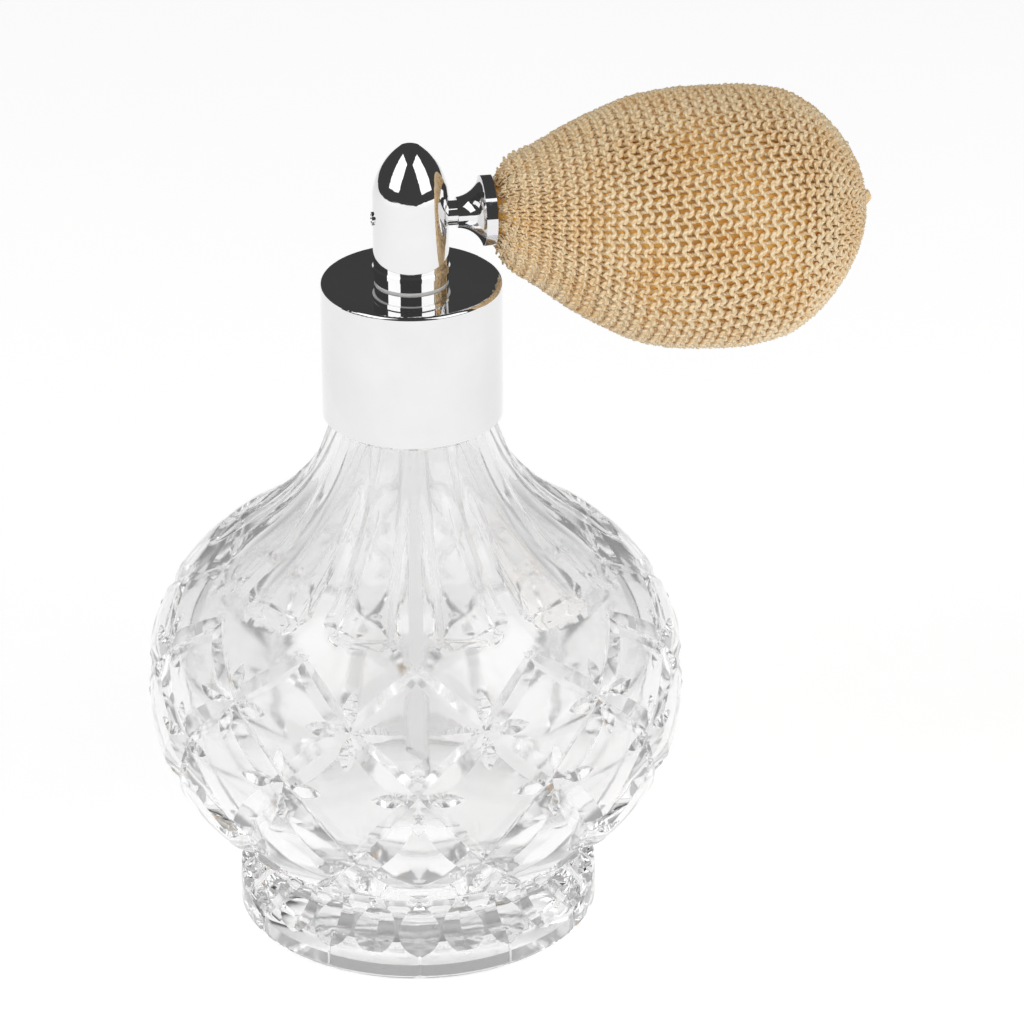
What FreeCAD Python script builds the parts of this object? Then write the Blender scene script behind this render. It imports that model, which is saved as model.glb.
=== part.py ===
"""Perfume atomiser: cut-glass bottle, screwed chrome collar, swivelling spray head and netted squeeze bulb.

Millimetres, +Z up. The foot rests on Z = 0 and the bottle's axis is the Z axis.
The bulb lies along +X and the spray leaves along -X.
"""
import FreeCAD, Part
import math
import os

Vector = FreeCAD.Vector

# ---------------------------------------------------------------- driving sizes
# Glass bottle
foot_radius = 25.6
foot_height = 6.6
foot_edge = 0.5
foot_top_slope = 2.9
waist_radius = 21.8
waist_height = 2.0
body_radius = 37.7
body_height = 64.5
neck_base_radius = 11.2
glass_wall = 4.6
glass_floor = 17.0
cavity_floor_radius = 21.0
# Outline of the body between waist and neck: share of its height, share of its radius
body_outline = (
    (0.070, 0.782),
    (0.194, 0.939),
    (0.333, 1.000),
    (0.473, 0.992),
    (0.597, 0.885),
    (0.690, 0.703),
    (0.783, 0.499),
    (0.907, 0.353),
)
cavity_outline = body_outline[1:7]

# Threaded neck of the bottle
neck_bore_radius = 7.0
neck_root_radius = 9.0
neck_length = 16.2
thread_pitch = 3.0
thread_turns = 1.5
thread_height = 0.85
thread_base_width = 1.5
thread_crest_width = 0.8
thread_below_rim = 5.2
thread_clearance = 0.25
thread_bite = 0.3

# Collar: a chrome shell round a threaded plastic insert
collar_radius = 12.5
collar_wall = 0.5
collar_top_thickness = 0.6
collar_height = 19.6
collar_edge_fillet = 0.5
collar_gap_over_body = 0.9
insert_fit = 0.05
insert_recess = 0.7
gasket_thickness = 1.0
gasket_inner_radius = 6.0
gasket_side_clearance = 0.5

# Spray head and its stem
stem_radius = 2.6
running_clearance = 0.05
stem_below_rim = 2.7
retainer_radius = 4.3
retainer_thickness = 0.9
retainer_groove_depth = 0.5
side_play = 0.05
seal_section_radius = 0.55
seal_squeeze = 0.35
dip_tube_radius = 1.9
dip_tube_bore_radius = 1.15
dip_tube_floor_gap = 1.6
dip_tube_overlap = 4.0
dip_tube_slant_degrees = 35
spigot_clearance = 0.03
washer_thickness = 0.3
washer_radius = 4.9
base_ring_radius = 5.1
base_ring_height = 1.5
head_radius = 5.2
head_wall = 0.9
head_flange_radius = 5.35
head_flange_height = 0.6
head_straight_top = 13.0
head_height = 19.8
head_tip_radius = 1.4
nose_fullness = 0.62
nozzle_height = 9.6
core_fit = 0.05
liquid_bore_radius = 0.7
liquid_jet_bore_radius = 0.3
liquid_jet_length = 4.6
liquid_jet_tip_below_axis = 0.25
cross_bore_radius = 1.3
air_jet_length = 1.3
air_jet_bore_radius = 0.35
air_jet_tip_distance = 0.9
nozzle_face_radius = 0.93
nozzle_proud = 0.25
nozzle_bore_radius = 0.35
nozzle_mouth_radius = 0.65
nozzle_mouth_depth = 0.8
nozzle_inner_length = 3.0
small_fit = 0.02

# Connector and ferrule between the head and the bulb, as distances from the bottle's axis
connector_radius = 1.7
connector_bore_radius = 0.9
connector_seat = 2.2
connector_grip = 2.5
ferrule_start = 6.3
ferrule_cone_length = 3.45
ferrule_throat_length = 0.9
ferrule_wall = 0.4
ferrule_bend_place = 0.62
ferrule_bend_rise = 0.30
ferrule_ring_length = 1.55
ferrule_ring_wall = 0.3
connector_gasket_radius = 2.5
connector_gasket_thickness = 0.5
barb_radius = 2.25
barb_ridge = 0.2
barb_ridge_length = 1.2
barb_ridge_count = 3
barb_first_ridge = 0.5
barb_ridge_pitch = 2.0
barb_flange_radius = 3.0
barb_flange_thickness = 0.6
barb_length = 7.2

# Bulb: a rubber bladder under a knitted net, tilted down a little by its weight
bulb_tilt_degrees = 3.5
bulb_tilt_start = 9.0
bulb_length = 52.0
bulb_radius = 18.1
bulb_mouth_overhang = 0.15
bulb_mouth_gap = 0.4
# Outline of the net between ferrule and tail: share of its length, share of its radius
bulb_outline = (
    (0.037, 0.405),
    (0.115, 0.536),
    (0.198, 0.685),
    (0.323, 0.867),
    (0.446, 0.967),
    (0.610, 1.000),
    (0.773, 0.956),
    (0.867, 0.785),
    (0.942, 0.547),
    (0.983, 0.320),
)
net_thickness = 0.8
net_neck_radius = 3.9
net_neck_thickness = 0.45
layer_gap = 0.05
bladder_wall = 1.4
bladder_bore_radius = 2.75
binding_thickness = 0.4
binding_turns = 3
binding_side_clearance = 0.2
tail_tie_radius = 2.0
tail_tie_length = 1.5

# One-way intake valve in the bladder's tail
ball_radius = 1.2
ball_side_clearance = 0.25
ball_travel = 0.75
ball_seat_gap = 0.05
valve_bore_radius = 0.8
valve_radius = 2.6
valve_chamber_length = 4.4
valve_neck_length = 1.9
valve_flange_radius = 3.2
valve_flange_thickness = 0.6
valve_ball_start = 2.8
valve_depth = 1.7
cage_thickness = 0.7
cage_hole_radius = 0.35
cage_hole_offset = 0.8
cage_hole_count = 4

# ---------------------------------------------------------------- heights and places that follow
waist_z = foot_height + foot_top_slope
body_bottom_z = waist_z + waist_height
neck_bottom_z = body_bottom_z + body_height
neck_top_z = neck_bottom_z + neck_length
neck_thread_z = neck_top_z - thread_below_rim - thread_pitch * thread_turns
gasket_top_z = neck_top_z + gasket_thickness
collar_bottom_z = neck_bottom_z + collar_gap_over_body
collar_top_z = collar_bottom_z + collar_height
plate_z = collar_top_z - collar_top_thickness
insert_bottom_z = collar_bottom_z + insert_recess
insert_top_z = plate_z - insert_fit
insert_bore_radius = neck_root_radius + thread_height + thread_clearance
gasket_outer_radius = insert_bore_radius - gasket_side_clearance
stem_bottom_z = neck_top_z - stem_below_rim
base_ring_z = collar_top_z + washer_thickness
head_bottom_z = base_ring_z + base_ring_height
head_bore_radius = head_radius - head_wall
head_bore_top_z = collar_top_z + head_straight_top
core_top_z = head_bore_top_z - core_fit
core_radius = head_bore_radius - core_fit
nozzle_z = collar_top_z + nozzle_height
ferrule_cone_end = ferrule_start + ferrule_cone_length
ferrule_ring_end = ferrule_cone_end + ferrule_ring_length
net_start = ferrule_cone_end + ferrule_wall
ferrule_ring_inner_radius = net_neck_radius + layer_gap + binding_thickness + binding_side_clearance
ferrule_ring_radius = ferrule_ring_inner_radius + ferrule_ring_wall
bulb_mouth_radius = ferrule_ring_radius + bulb_mouth_overhang
bulb_end = ferrule_ring_end + bulb_length
barb_start = ferrule_cone_end - barb_flange_thickness
valve_end = bulb_end - valve_depth
valve_start = valve_end - valve_flange_thickness - valve_neck_length - valve_chamber_length
ball_place = valve_start + valve_ball_start


# ---------------------------------------------------------------- helpers
def save(shape, node):
    """Write one node's solid or group of solids."""
    shape.exportStep("parts/" + node + ".step")


def ring_solid(points):
    """Revolve a closed outline of (radius, height) points about the Z axis."""
    corners = [Vector(radius, 0, height) for radius, height in points]
    face = Part.Face(Part.makePolygon(corners + corners[:1]))
    return face.revolve(Vector(0, 0, 0), Vector(0, 0, 1), 360)


def tube(outer_radius, inner_radius, bottom, top):
    """A round tube on the Z axis."""
    return ring_solid((
        (inner_radius, bottom),
        (outer_radius, bottom),
        (outer_radius, top),
        (inner_radius, top),
    ))


def rod(radius, bottom, top):
    """A round rod on the Z axis."""
    return Part.makeCylinder(radius, top - bottom, Vector(0, 0, bottom))


def smooth_curve(points):
    """A smooth curve through (radius, height) points."""
    curve = Part.BSplineCurve()
    curve.interpolate([Vector(radius, 0, height) for radius, height in points])
    return curve


def moved_inwards(points, distance):
    """The inner points of an outline, each moved square to its smooth curve, towards the axis."""
    curve = smooth_curve(points)
    moved = []
    for radius, height in points[1:-1]:
        along = curve.tangent(curve.parameter(Vector(radius, 0, height)))[0]
        moved.append((radius - along.z * distance, height + along.x * distance))
    return moved


def curved_solid(curve_points, closing_points):
    """Revolve the face between a smooth curve and the straight lines that close it."""
    curve = smooth_curve(curve_points).toShape()
    chain = [curve_points[-1]] + list(closing_points) + [curve_points[0]]
    lines = Part.makePolygon([Vector(radius, 0, height) for radius, height in chain])
    face = Part.Face(Part.Wire([curve] + lines.Edges))
    return face.revolve(Vector(0, 0, 0), Vector(0, 0, 1), 360)


def along_x(shape, height):
    """Lay a shape made on the Z axis along +X at a height, so that its Z becomes distance from the axis."""
    laid = shape.copy()
    laid.rotate(Vector(0, 0, 0), Vector(0, 1, 0), 90)
    laid.translate(Vector(0, 0, height))
    return laid


def on_bulb_axis(shape):
    """Lay a shape along +X and tilt it down about the bulb's start, as the bulb hangs."""
    tilted = along_x(shape, nozzle_z)
    tilted.rotate(Vector(bulb_tilt_start, 0, nozzle_z), Vector(0, 1, 0), bulb_tilt_degrees)
    return tilted


def helical_ridge(root_radius, height, start_z, inward):
    """A screw thread's ridge, which bites a little into the wall that carries it."""
    side = -1 if inward else 1
    path = Part.makeHelix(thread_pitch, thread_pitch * thread_turns, root_radius)
    half_base = thread_base_width / 2
    half_crest = thread_crest_width / 2
    outline = (
        (root_radius - side * thread_bite, -half_base),
        (root_radius, -half_base),
        (root_radius + side * height, -half_crest),
        (root_radius + side * height, half_crest),
        (root_radius, half_base),
        (root_radius - side * thread_bite, half_base),
    )
    corners = [Vector(radius, 0, level) for radius, level in outline]
    section = Part.makePolygon(corners + corners[:1])
    ridge = Part.Wire(path.Edges).makePipeShell([section], True, True)
    ridge.translate(Vector(0, 0, start_z))
    return ridge


# ---------------------------------------------------------------- bottle
def body_points():
    """Outline of the body from waist to neck, as (radius, height)."""
    middle = [(body_radius * wide, body_bottom_z + body_height * up) for up, wide in body_outline]
    return [(waist_radius, body_bottom_z)] + middle + [(neck_base_radius, neck_bottom_z)]


def cavity_points():
    """Outline of the hollow, one glass wall inside the body."""
    inner = moved_inwards(body_points(), glass_wall)
    first = body_outline.index(cavity_outline[0])
    kept = inner[first:first + len(cavity_outline)]
    return [(cavity_floor_radius, glass_floor)] + kept + [(neck_bore_radius, neck_bottom_z)]


def bottle_glass():
    """Foot, waist, round body and threaded neck, with the hollow for the perfume."""
    foot = (
        (neck_base_radius, neck_top_z),
        (0, neck_top_z),
        (0, 0),
        (foot_radius - foot_edge, 0),
        (foot_radius, foot_edge),
        (foot_radius, foot_height - foot_edge),
        (foot_radius - foot_edge, foot_height),
        (waist_radius, waist_z),
    )
    outside = curved_solid(body_points(), foot)
    neck_trim = tube(body_radius, neck_root_radius, neck_bottom_z, neck_top_z + 1)
    outside = outside.cut(neck_trim)
    hollow = curved_solid(
        cavity_points(),
        ((neck_bore_radius, neck_top_z + 1), (0, neck_top_z + 1), (0, glass_floor)),
    )
    thread = helical_ridge(neck_root_radius, thread_height, neck_thread_z, False)
    return outside.cut(hollow).fuse(thread)


# ---------------------------------------------------------------- collar
def neck_gasket():
    """Soft ring pressed on the rim of the glass."""
    return tube(gasket_outer_radius, gasket_inner_radius, neck_top_z, gasket_top_z)


def collar_shell():
    """Chrome cap with a flat top and a round hole for the stem."""
    hole = stem_radius + running_clearance
    inner = collar_radius - collar_wall
    shell = ring_solid((
        (inner, collar_bottom_z),
        (collar_radius, collar_bottom_z),
        (collar_radius, collar_top_z),
        (hole, collar_top_z),
        (hole, plate_z),
        (inner, plate_z),
    ))
    top_edge = [
        edge for edge in shell.Edges
        if abs(edge.BoundBox.ZMin - collar_top_z) < small_fit
        and edge.BoundBox.XMax > collar_radius - small_fit
        and edge.BoundBox.ZLength < small_fit
    ]
    return shell.makeFillet(min(collar_edge_fillet, collar_wall), top_edge[:1])


def collar_insert():
    """Plastic liner that screws on the neck and carries the stem's seal."""
    outer = collar_radius - collar_wall - insert_fit
    seal_bore = stem_radius - seal_squeeze + 2 * seal_section_radius + small_fit
    body = ring_solid((
        (insert_bore_radius, insert_bottom_z),
        (outer, insert_bottom_z),
        (outer, insert_top_z),
        (seal_bore, insert_top_z),
        (seal_bore, gasket_top_z),
        (insert_bore_radius, gasket_top_z),
    ))
    thread = helical_ridge(insert_bore_radius, thread_height, neck_thread_z - thread_pitch / 2, True)
    return body.fuse(thread)


# ---------------------------------------------------------------- head
def stem_groove(depth, middle, width):
    """Cutter for a ring groove in the stem."""
    return tube(stem_radius + 1, stem_radius - depth, middle - width / 2, middle + width / 2)


def retainer_z():
    """Middle height of the clip under the insert's ceiling."""
    return gasket_top_z - side_play - retainer_thickness / 2


def seal_z():
    """Middle height of the stem's O-ring, inside the insert's ceiling."""
    return (gasket_top_z + insert_top_z) / 2


def head_core():
    """Turned brass core with the stem, the liquid passage and the cross bore."""
    spigot = dip_tube_bore_radius - spigot_clearance
    core = rod(spigot, stem_bottom_z - dip_tube_overlap, stem_bottom_z)
    core = core.fuse(rod(stem_radius, stem_bottom_z, head_bottom_z))
    core = core.fuse(rod(core_radius, head_bottom_z, core_top_z))
    core = core.cut(stem_groove(retainer_groove_depth, retainer_z(), retainer_thickness + side_play))
    core = core.cut(stem_groove(seal_squeeze, seal_z(), 2 * seal_section_radius))
    core = core.cut(rod(liquid_bore_radius, stem_bottom_z - dip_tube_overlap, nozzle_z))
    cross = along_x(rod(cross_bore_radius, -head_radius, head_radius), nozzle_z)
    seat = along_x(rod(connector_radius + small_fit, connector_seat, head_radius), nozzle_z)
    return core.cut(cross).cut(seat).removeSplitter()


def head_shell():
    """Chrome cover with a flanged foot and a bullet-shaped top."""
    straight_z = collar_top_z + head_straight_top
    top_z = collar_top_z + head_height
    flange_top = head_bottom_z + head_flange_height
    step = head_flange_radius - head_radius
    side = Part.makePolygon([
        Vector(0, 0, head_bottom_z),
        Vector(head_flange_radius, 0, head_bottom_z),
        Vector(head_flange_radius, 0, flange_top),
        Vector(head_radius, 0, flange_top + 2 * step),
        Vector(head_radius, 0, straight_z),
    ])
    rise = top_z - straight_z
    narrowing = head_radius - head_tip_radius
    middle = Vector(head_tip_radius + nose_fullness * narrowing, 0, straight_z + nose_fullness * rise)
    nose = Part.Arc(Vector(head_radius, 0, straight_z), middle, Vector(head_tip_radius, 0, top_z)).toShape()
    top = Part.makePolygon([
        Vector(head_tip_radius, 0, top_z),
        Vector(0, 0, top_z),
        Vector(0, 0, head_bottom_z),
    ])
    face = Part.Face(Part.Wire(side.Edges + [nose] + top.Edges))
    shell = face.revolve(Vector(0, 0, 0), Vector(0, 0, 1), 360)
    shell = shell.cut(rod(head_bore_radius, head_bottom_z, head_bore_top_z))
    nozzle_hole = along_x(rod(nozzle_face_radius + small_fit, -2 * head_radius, 0), nozzle_z)
    connector_hole = along_x(rod(connector_radius + small_fit, 0, 2 * head_radius), nozzle_z)
    return shell.cut(nozzle_hole).cut(connector_hole)


def head_base_ring():
    """Chrome ring between the washer and the shell."""
    return tube(base_ring_radius, stem_radius + small_fit, base_ring_z, head_bottom_z)


def swivel_washer():
    """Slippery washer that the head turns on."""
    return tube(washer_radius, stem_radius + small_fit, collar_top_z, base_ring_z)


def stem_retainer():
    """Split clip that holds the stem in the collar."""
    inner = stem_radius - retainer_groove_depth + small_fit
    middle = retainer_z()
    bottom = middle - retainer_thickness / 2
    clip = tube(retainer_radius, inner, bottom, bottom + retainer_thickness)
    slot = Part.makeBox(retainer_radius, inner, retainer_thickness, Vector(0, -inner / 2, bottom))
    return clip.cut(slot)


def stem_o_ring():
    """Rubber ring that seals the stem in the insert."""
    centre = stem_radius - seal_squeeze + seal_section_radius
    return Part.makeTorus(centre, seal_section_radius - small_fit / 2, Vector(0, 0, seal_z()))


def dip_tube():
    """Clear tube from the stem down to the bottle's floor, cut on a slant at its foot."""
    bottom = glass_floor + dip_tube_floor_gap
    pipe = tube(dip_tube_radius, dip_tube_bore_radius, bottom, stem_bottom_z)
    size = 4 * dip_tube_radius
    cutter = Part.makeBox(size, size, size, Vector(-size / 2, -size / 2, -size))
    cutter.rotate(Vector(0, 0, 0), Vector(0, 1, 0), dip_tube_slant_degrees)
    cutter.translate(Vector(0, 0, bottom + dip_tube_radius))
    return pipe.cut(cutter)


def liquid_jet():
    """Fine upright tube whose tip stands in the air stream."""
    tip = nozzle_z - liquid_jet_tip_below_axis
    return tube(liquid_bore_radius - small_fit, liquid_jet_bore_radius, tip - liquid_jet_length, tip)


def air_jet():
    """Short narrow tube that speeds up the air towards the liquid jet's tip."""
    end = air_jet_tip_distance + air_jet_length
    jet = tube(cross_bore_radius - small_fit, air_jet_bore_radius, air_jet_tip_distance, end)
    return along_x(jet, nozzle_z)


def nozzle_tip():
    """Spray outlet, trapped between the core and the shell."""
    outer = cross_bore_radius - small_fit
    shoulder = small_fit - math.sqrt(head_bore_radius ** 2 - outer ** 2)
    front = -(head_radius + nozzle_proud)
    tip = ring_solid((
        (nozzle_bore_radius, shoulder + nozzle_inner_length),
        (outer, shoulder + nozzle_inner_length),
        (outer, shoulder),
        (nozzle_face_radius, shoulder),
        (nozzle_face_radius, front),
        (nozzle_mouth_radius, front),
        (nozzle_bore_radius, front + nozzle_mouth_depth),
    ))
    return along_x(tip, nozzle_z)


# ---------------------------------------------------------------- connector and ferrule
def connector_tube():
    """Chrome pipe that carries the bulb."""
    end = barb_start + connector_grip
    return along_x(tube(connector_radius, connector_bore_radius, connector_seat, end), nozzle_z)


def ferrule_cone():
    """Trumpet-shaped cover over the joint of pipe and bulb."""
    throat = connector_radius + small_fit
    mouth = ferrule_ring_radius - layer_gap
    start = throat + ferrule_wall
    bend_place = ferrule_start + ferrule_bend_place * ferrule_cone_length
    bend_radius = start + ferrule_bend_rise * (mouth - start)
    outer = Part.Arc(
        Vector(start, 0, ferrule_start),
        Vector(bend_radius, 0, bend_place),
        Vector(mouth, 0, ferrule_cone_end),
    )
    inner = Part.makePolygon([
        Vector(mouth, 0, ferrule_cone_end),
        Vector(mouth - ferrule_wall, 0, ferrule_cone_end),
        Vector(bend_radius - ferrule_wall / 2, 0, bend_place + ferrule_wall),
        Vector(throat, 0, ferrule_start + ferrule_throat_length),
        Vector(throat, 0, ferrule_start),
        Vector(start, 0, ferrule_start),
    ])
    face = Part.Face(Part.Wire([outer.toShape()] + inner.Edges))
    return along_x(face.revolve(Vector(0, 0, 0), Vector(0, 0, 1), 360), nozzle_z)


def ferrule_ring():
    """Ring that crimps the neck of the net and the bladder."""
    ring = tube(ferrule_ring_radius, ferrule_ring_inner_radius, ferrule_cone_end, ferrule_ring_end)
    return along_x(ring, nozzle_z)


def connector_gasket():
    """Washer on the pipe, inside the trumpet."""
    end = barb_start - small_fit
    start = end - connector_gasket_thickness
    washer = tube(connector_gasket_radius, connector_radius + small_fit, start, end)
    return along_x(washer, nozzle_z)


def bulb_barb():
    """Ridged spigot that the bladder's neck is pushed over."""
    body = rod(barb_flange_radius, barb_start, barb_start + barb_flange_thickness)
    body = body.fuse(rod(barb_radius, barb_start, barb_start + barb_length))
    for number in range(barb_ridge_count):
        foot = barb_start + barb_flange_thickness + barb_first_ridge + number * barb_ridge_pitch
        ridge = Part.makeCone(barb_radius + barb_ridge, barb_radius, barb_ridge_length, Vector(0, 0, foot))
        body = body.fuse(ridge)
    body = body.cut(rod(connector_radius + small_fit, barb_start, barb_start + connector_grip))
    body = body.cut(rod(connector_bore_radius, barb_start, barb_start + barb_length))
    return along_x(body.removeSplitter(), nozzle_z)


# ---------------------------------------------------------------- bulb
def bulb_points():
    """Outside of the net from the ferrule's mouth to the tail, as (radius, distance)."""
    middle = [(bulb_radius * wide, ferrule_ring_end + bulb_length * out) for out, wide in bulb_outline]
    return [(bulb_mouth_radius, ferrule_ring_end + bulb_mouth_gap)] + middle + [(tail_tie_radius, bulb_end)]


def layer_points(depth, neck_radius, tail_radius):
    """Outline of a layer of the bulb, some depth under the net's outside."""
    inner = moved_inwards(bulb_points(), depth)
    neck = (neck_radius, ferrule_ring_end + bulb_mouth_gap + depth)
    tail = (tail_radius, bulb_end - depth)
    return [neck] + inner + [tail]


def bulb_net():
    """Knitted cover: a thin closed skin round the bladder, with a sleeve under the ferrule ring."""
    outside = curved_solid(
        bulb_points(),
        (
            (0, bulb_end),
            (0, net_start),
            (net_neck_radius, net_start),
            (net_neck_radius, ferrule_ring_end + bulb_mouth_gap),
        ),
    )
    inner_neck = net_neck_radius - net_neck_thickness
    inside = curved_solid(
        layer_points(net_thickness, inner_neck, tail_tie_radius),
        ((0, bulb_end - net_thickness), (0, net_start), (inner_neck, net_start)),
    )
    return on_bulb_axis(outside.cut(inside))


def bulb_bladder():
    """Rubber bulb with a neck that grips the barb and a boss that holds the intake valve."""
    neck = net_neck_radius - net_neck_thickness - layer_gap
    depth = net_thickness + layer_gap
    outside = curved_solid(
        layer_points(depth, neck, tail_tie_radius),
        ((0, bulb_end - depth), (0, net_start), (neck, net_start)),
    )
    wall_depth = depth + bladder_wall
    inside = curved_solid(
        layer_points(wall_depth, bladder_bore_radius, tail_tie_radius),
        ((0, bulb_end - wall_depth), (0, net_start), (bladder_bore_radius, net_start)),
    )
    boss = rod(valve_flange_radius + bladder_wall, valve_start + valve_chamber_length, bulb_end - wall_depth)
    rubber = outside.cut(inside).fuse(boss.common(outside))
    flange_room = rod(valve_flange_radius + small_fit, valve_end - valve_flange_thickness, bulb_end)
    barrel_room = rod(valve_radius + small_fit, valve_start, bulb_end)
    return on_bulb_axis(rubber.cut(flange_room).cut(barrel_room))


def net_neck_binding():
    """Thread wound round the net on the bladder's neck."""
    half = binding_thickness / 2
    centre = net_neck_radius + layer_gap + half
    pitch = (ferrule_ring_end - net_start) / binding_turns
    start = net_start + pitch / 2
    rings = [
        Part.makeTorus(centre, half, Vector(0, 0, start + number * pitch))
        for number in range(binding_turns)
    ]
    return on_bulb_axis(Part.makeCompound(rings))


def net_tail_tie():
    """Knot that gathers the net's tail."""
    start = bulb_end + layer_gap
    knot = rod(tail_tie_radius, start, start + tail_tie_length)
    edges = [edge for edge in knot.Edges if edge.BoundBox.ZLength < small_fit]
    return on_bulb_axis(knot.makeFillet(tail_tie_length / 3, edges))


# ---------------------------------------------------------------- intake valve
def seat_place():
    """Distance of the edge that the ball closes on."""
    reach = math.sqrt(ball_radius ** 2 - valve_bore_radius ** 2)
    return ball_place + ball_travel + reach + ball_seat_gap


def intake_valve_body():
    """Flanged plug with the ball's chamber and the air inlet."""
    flange_start = valve_end - valve_flange_thickness
    chamber = ball_radius + ball_side_clearance
    body = rod(valve_radius, valve_start, valve_end)
    body = body.fuse(rod(valve_flange_radius, flange_start, valve_end))
    body = body.cut(rod(chamber, valve_start, seat_place()))
    body = body.cut(rod(valve_bore_radius, valve_start, valve_end))
    return on_bulb_axis(body.removeSplitter())


def intake_valve_ball():
    """Steel ball that closes the inlet when the bulb is squeezed."""
    return on_bulb_axis(Part.makeSphere(ball_radius, Vector(0, 0, ball_place)))


def intake_valve_cage():
    """Pierced disc that keeps the ball in its chamber."""
    outer = ball_radius + ball_side_clearance - small_fit
    disc = rod(outer, valve_start, valve_start + cage_thickness)
    for number in range(cage_hole_count):
        angle = 2 * math.pi * number / cage_hole_count
        hole = rod(cage_hole_radius, valve_start, valve_start + cage_thickness)
        hole.translate(Vector(cage_hole_offset * math.cos(angle), cage_hole_offset * math.sin(angle), 0))
        disc = disc.cut(hole)
    return on_bulb_axis(disc)


nodes = (
    bottle_glass,
    neck_gasket,
    collar_shell,
    collar_insert,
    head_core,
    head_shell,
    head_base_ring,
    swivel_washer,
    stem_retainer,
    stem_o_ring,
    dip_tube,
    liquid_jet,
    air_jet,
    nozzle_tip,
    connector_tube,
    connector_gasket,
    ferrule_cone,
    ferrule_ring,
    bulb_barb,
    bulb_bladder,
    bulb_net,
    net_neck_binding,
    net_tail_tie,
    intake_valve_body,
    intake_valve_ball,
    intake_valve_cage,
)

os.makedirs("parts", exist_ok=True)
for node in nodes:
    solid = node()
    save(solid, node.__name__)
    print(node.__name__, "valid" if solid.isValid() else "INVALID", len(solid.Solids), round(solid.Volume, 2))
axis_drop = math.radians(bulb_tilt_degrees)
print("heights", round(neck_top_z, 3), round(collar_top_z, 3), round(nozzle_z, 3))
print("ball axis", round(math.cos(axis_drop), 6), round(-math.sin(axis_drop), 6))
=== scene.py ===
import math

import bmesh
import bpy
import numpy as np
from mathutils import Matrix, Vector
from mathutils.geometry import delaunay_2d_cdt


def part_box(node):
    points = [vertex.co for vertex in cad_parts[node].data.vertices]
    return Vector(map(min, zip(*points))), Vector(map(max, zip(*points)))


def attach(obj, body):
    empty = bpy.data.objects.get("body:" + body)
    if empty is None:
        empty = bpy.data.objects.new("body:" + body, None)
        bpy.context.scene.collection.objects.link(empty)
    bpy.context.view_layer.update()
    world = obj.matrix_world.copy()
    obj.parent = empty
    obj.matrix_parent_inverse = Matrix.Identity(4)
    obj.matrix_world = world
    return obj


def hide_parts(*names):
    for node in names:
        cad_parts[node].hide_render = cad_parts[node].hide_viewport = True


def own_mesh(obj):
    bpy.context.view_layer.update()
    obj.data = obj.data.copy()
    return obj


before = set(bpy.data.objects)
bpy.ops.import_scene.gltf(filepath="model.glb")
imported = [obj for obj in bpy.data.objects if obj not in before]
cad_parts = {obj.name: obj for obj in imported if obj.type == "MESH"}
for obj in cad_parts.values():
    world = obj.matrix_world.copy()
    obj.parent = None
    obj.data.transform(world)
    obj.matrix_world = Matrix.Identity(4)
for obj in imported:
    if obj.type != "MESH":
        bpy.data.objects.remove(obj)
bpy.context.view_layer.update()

MM = 0.001
TURN = 2 * math.pi

# ---------------------------------------------------------------- sizes, in mm
UNITS = 24                      # the cut pattern's columns round the bottle
UNIT_ANGLE = TURN / UNITS
FIRST_COLUMN = math.radians(-98.7)

FOOT_OUTLINE = ((0, 25.0), (0.6, 25.6), (5.0, 25.5), (6.0, 25.15))
WAIST_OUTLINE = ((6.0, 25.15), (7.4, 23.6), (8.8, 22.1), (10.2, 21.6), (11.6, 22.0))
BODY_OUTLINE = (
    (11.6, 22.0), (13.2, 25.2), (16, 29.6), (20, 33.1), (24, 35.5), (29, 37.2), (35, 37.8),
    (41, 37.4), (46, 35.7), (51, 32.5), (56, 27.3), (61, 20.6), (66, 16.0), (71, 13.1), (76, 11.3),
)
CAVITY_OUTLINE = (
    (17.6, 22.6), (19.5, 25.6), (23, 29.2), (28, 32.0), (34, 33.1), (40, 32.7), (45, 30.9),
    (50, 27.5), (55, 22.4), (60, 16.1), (65, 11.6), (70, 8.9), (75, 7.3), (78, 7.0), (91.6, 7.0),
)
CAVITY_FLOOR_Z = 17.0
CAVITY_CORNER = ((20.6, 17.12), (18.5, 17.0))
NECK_ROOT = 9.0
NECK_BORE = 7.0
PLAIN_NECK_Z = (77.5, 79.5)
THREADED_NECK_Z = (80.9, 89.4, 0.3)   # from, to and spacing of the rings that carry the thread
NECK_SHOULDER_Z = 90.4
THREAD_START_Z = 82.5
THREAD_PITCH = 3.0
THREAD_TURNS = 1.5
THREAD_HEIGHT = 0.82
THREAD_HALF_WIDTH = 0.95
THREAD_FLANK = 0.5
THREAD_FADE = 0.05              # share of the thread's length in which each end dies away

# the crossing mitre cuts: heights of the tips and of the three rows of stars, and of the waist end
ROW_Z = (52.4, 45.2, 36.0, 22.4, 12.4)
MITRE_HALF_WIDTHS = ((0, 1.3), (0.5, 1.45), (1.5, 1.9), (2.5, 2.5), (3.5, 2.7), (4, 2.4))
MITRE_SLOPES = ((0, 0.60), (1, 0.72), (2, 0.80), (3, 0.85), (4, 0.85))
MITRE_NARROWEST = 0.62          # at a star, as a share of the width midway
MITRE_TIP_WIDENING = 9.0        # mm per row, above the first row
MITRE_TAPER_ROW = 3.55          # from here on the cuts close to a point
MITRE_END_ROW = 4.02
MITRE_TAPER_ROWS = 0.47
ARM_SLOPE = 0.90
ARM_LENGTHS = {1: (6.3, 5.6), 2: (6.4, 5.7), 3: (5.6, 5.0)}   # sideways, up and down
ARM_HALF_WIDTH = 1.05

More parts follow.
